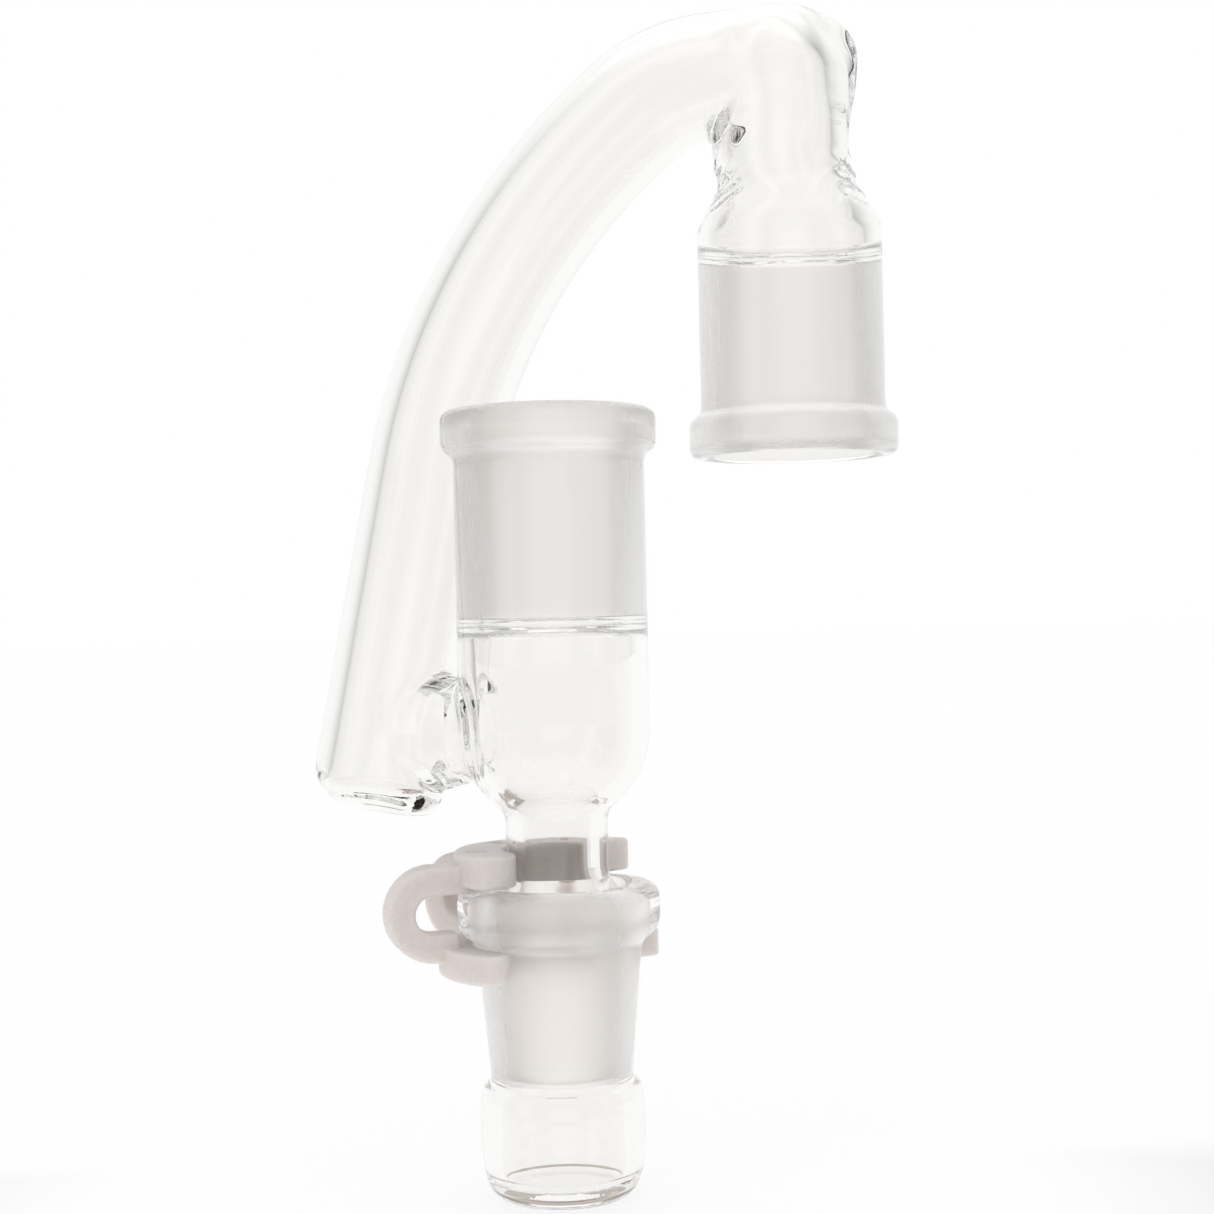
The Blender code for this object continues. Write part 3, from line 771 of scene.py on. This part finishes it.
# ---------------------------------------------------------------- the pieces

def place_piece(thing, body, material, nodes):
    thing.data.materials.append(material)
    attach(thing, body)
    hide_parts(*nodes)


def make_adapter():
    low, high = [-32.0, -14.5, 12.0], [44.0, 28.0, 143.0]
    bands = [(place + below, place + above, FINE_STEP) for place, below, above in (
        (COLUMN_GROUND_END, -1.8, 1.0), (HANG_RING_Z, -3.4, 4.4), (COLUMN_MOUTH, -7.0, 0.5),
        (HANG_MOUTH, -0.5, 7.0), (SHOULDER_Z, 3.0, 9.5))]
    thing = mesh_of("adapter_glass", Adapter(), low, high, GLASS_CELL, bands)
    column_ground = ((0.0, 0.0), (COLUMN_GROUND_END, COLUMN_MOUTH - 0.3), (0, 10.6), 0.0)
    hang_ground = (HANG_AXIS, (HANG_MOUTH + 0.3, HANG_RING_Z), (0, 10.6), RING_SLOPE)
    cone_ground = ((0.0, 0.0), (CONE_TIP - 1, CONE_TOP), (5.5, 8.0), 0.0)
    zones = [(column_ground, GROUND_TINT, GROUND_ROUGH), (hang_ground, GROUND_TINT, GROUND_ROUGH),
             (cone_ground, NESTED_TINT, NESTED_ROUGH)]
    material = glass_material("adapter_borosilicate", zones)
    nodes = frame["record"]["behaviour"]["bodies"]["adapter"]
    place_piece(thing, "adapter", material, nodes)


def make_cup():
    low, high = [-13.0, -13.0, -1.0], [13.0, 13.0, 38.0]
    thing = mesh_of("collecting_cup", Cup(), low, high, GLASS_CELL)
    cup_ground = ((0.0, 0.0), (CUP_WAIST, CUP_MOUTH - 1.0), (0, 7.9), 0.0)
    # A ring of painted shade round the foot, just above the base, where the thick glass would show
    # dark.
    painted_shade_band = ((0.0, 0.0), (1.05, 1.6), (8.2, 9.6), 0.0)
    zones = [(cup_ground, NESTED_TINT, NESTED_ROUGH), (painted_shade_band, PAINTED_SHADE_TINT, 0.0)]
    material = glass_material("cup_borosilicate", zones)
    place_piece(thing, "cup", material, ["cup_socket", "cup_bowl"])


def make_clip():
    low, high = [-22.0, -17.0, 25.0], [16.0, 22.0, 42.0]
    thing = mesh_of("joint_clip_moulding", Clip(), low, high, CLIP_CELL)
    place_piece(thing, "clip", plastic_material(), ["joint_clip"])


# ---------------------------------------------------------------- studio

WHITE = (1.0, 1.0, 1.0, 1.0)
FLOOR_SIZE = 12.0
FLOOR_GAP = 0.0002       # the floor is this far under the cup, in metres


def make_floor():
    """White board that glows with painted light: brightest near the object and behind it, and dimmer
    in front.
    """
    place = (0, 0, float(base[2]) * MM - FLOOR_GAP)
    bpy.ops.mesh.primitive_plane_add(size=FLOOR_SIZE, location=place)
    floor = bpy.context.object
    floor.name = "floor"
    material, tree, shader = new_material("pale_floor")
    split = tree.nodes.new("ShaderNodeSeparateXYZ")
    tree.links.new(tree.nodes.new("ShaderNodeTexCoord").outputs["Object"], split.inputs[0])
    x = math_node(tree, "SUBTRACT", split.outputs[0], float(base[0]) * MM)
    y = math_node(tree, "SUBTRACT", split.outputs[1], float(base[1]) * MM)
    away = level_distance(tree, x, y)
    behind = smooth_step(tree, math_node(tree, "DIVIDE", y, away), -0.3, 0.3)
    near = smooth_step(tree, away, 0.13, 0.05)
    floor_painted_glow = math_node(tree, "MAXIMUM", behind, near)
    # The emission is a painted pool of light, brighter behind and near the object.
    set_inputs(shader, Roughness=0.9, Specular_IOR_Level=0.0, Emission_Color=WHITE,
               Emission_Strength=scaled(tree, floor_painted_glow, 0.36, 0.50), Base_Color=(0.15, 0.15, 0.15, 1.0))
    floor.data.materials.append(material)


SOFT_BOXES = ((radians(-124), 0.035, 0.55), (radians(112), 0.02, 0.4))    # turn, width, strength


def make_world():
    """A lit backdrop, dim sides, a fill light from in front, and two tall soft boxes."""
    world = bpy.data.worlds.new("studio")
    bpy.context.scene.world = world
    world.use_nodes = True
    tree = world.node_tree
    split = tree.nodes.new("ShaderNodeSeparateXYZ")
    tree.links.new(tree.nodes.new("ShaderNodeTexCoord").outputs["Generated"], split.inputs[0])
    x, y, z = split.outputs
    level = math_node(tree, "ADD", level_distance(tree, x, y), 0.0001)
    light = scaled(tree, smooth_step(tree, y, 0.05, 0.92), 0.60, 0.40)
    light = scaled(tree, smooth_step(tree, y, -0.15, -0.5), 0.22, light)
    light = scaled(tree, smooth_step(tree, y, -0.86, -0.96), 0.5, light)
    for turn, width, strength in SOFT_BOXES:
        toward = math_node(tree, "ADD", math_node(tree, "MULTIPLY", x, sin(turn)),
                           math_node(tree, "MULTIPLY", y, cos(turn)))
        toward = math_node(tree, "DIVIDE", toward, level)
        box = smooth_step(tree, toward, 1 - width, 1 - width * 0.3)
        light = scaled(tree, box, strength, light)
    light = scaled(tree, smooth_step(tree, z, 0.5, 0.9), 0.5, light)
    set_inputs(tree.nodes["Background"], Color=WHITE, Strength=light)


CAMERA_STAND = np.array([6.4, -236.0, 67.5])      # from the cup's base
CAMERA_ROLL = radians(-1.29)


def make_camera():
    data = bpy.data.cameras.new("camera")
    data.lens = 60.2
    data.sensor_width = 36.0
    data.shift_y = 5 / 1214
    camera = bpy.data.objects.new("camera", data)
    bpy.context.scene.collection.objects.link(camera)
    stand = Vector((base + CAMERA_STAND) * MM)
    look = Matrix.Rotation(pi / 2, 4, "X") @ Matrix.Rotation(CAMERA_ROLL, 4, "Z")
    camera.matrix_world = Matrix.Translation(stand) @ look
    data.clip_start = 0.01
    bpy.context.scene.camera = camera


def make_light_paths():
    """Glass inside ground glass needs long paths, or it turns black."""
    scene = bpy.context.scene
    scene.view_settings.view_transform = "Standard"
    scene.cycles.max_bounces = 80
    scene.cycles.transmission_bounces = 80
    scene.cycles.glossy_bounces = 48


make_adapter()
make_cup()
make_clip()
make_floor()
make_world()
make_camera()
make_light_paths()
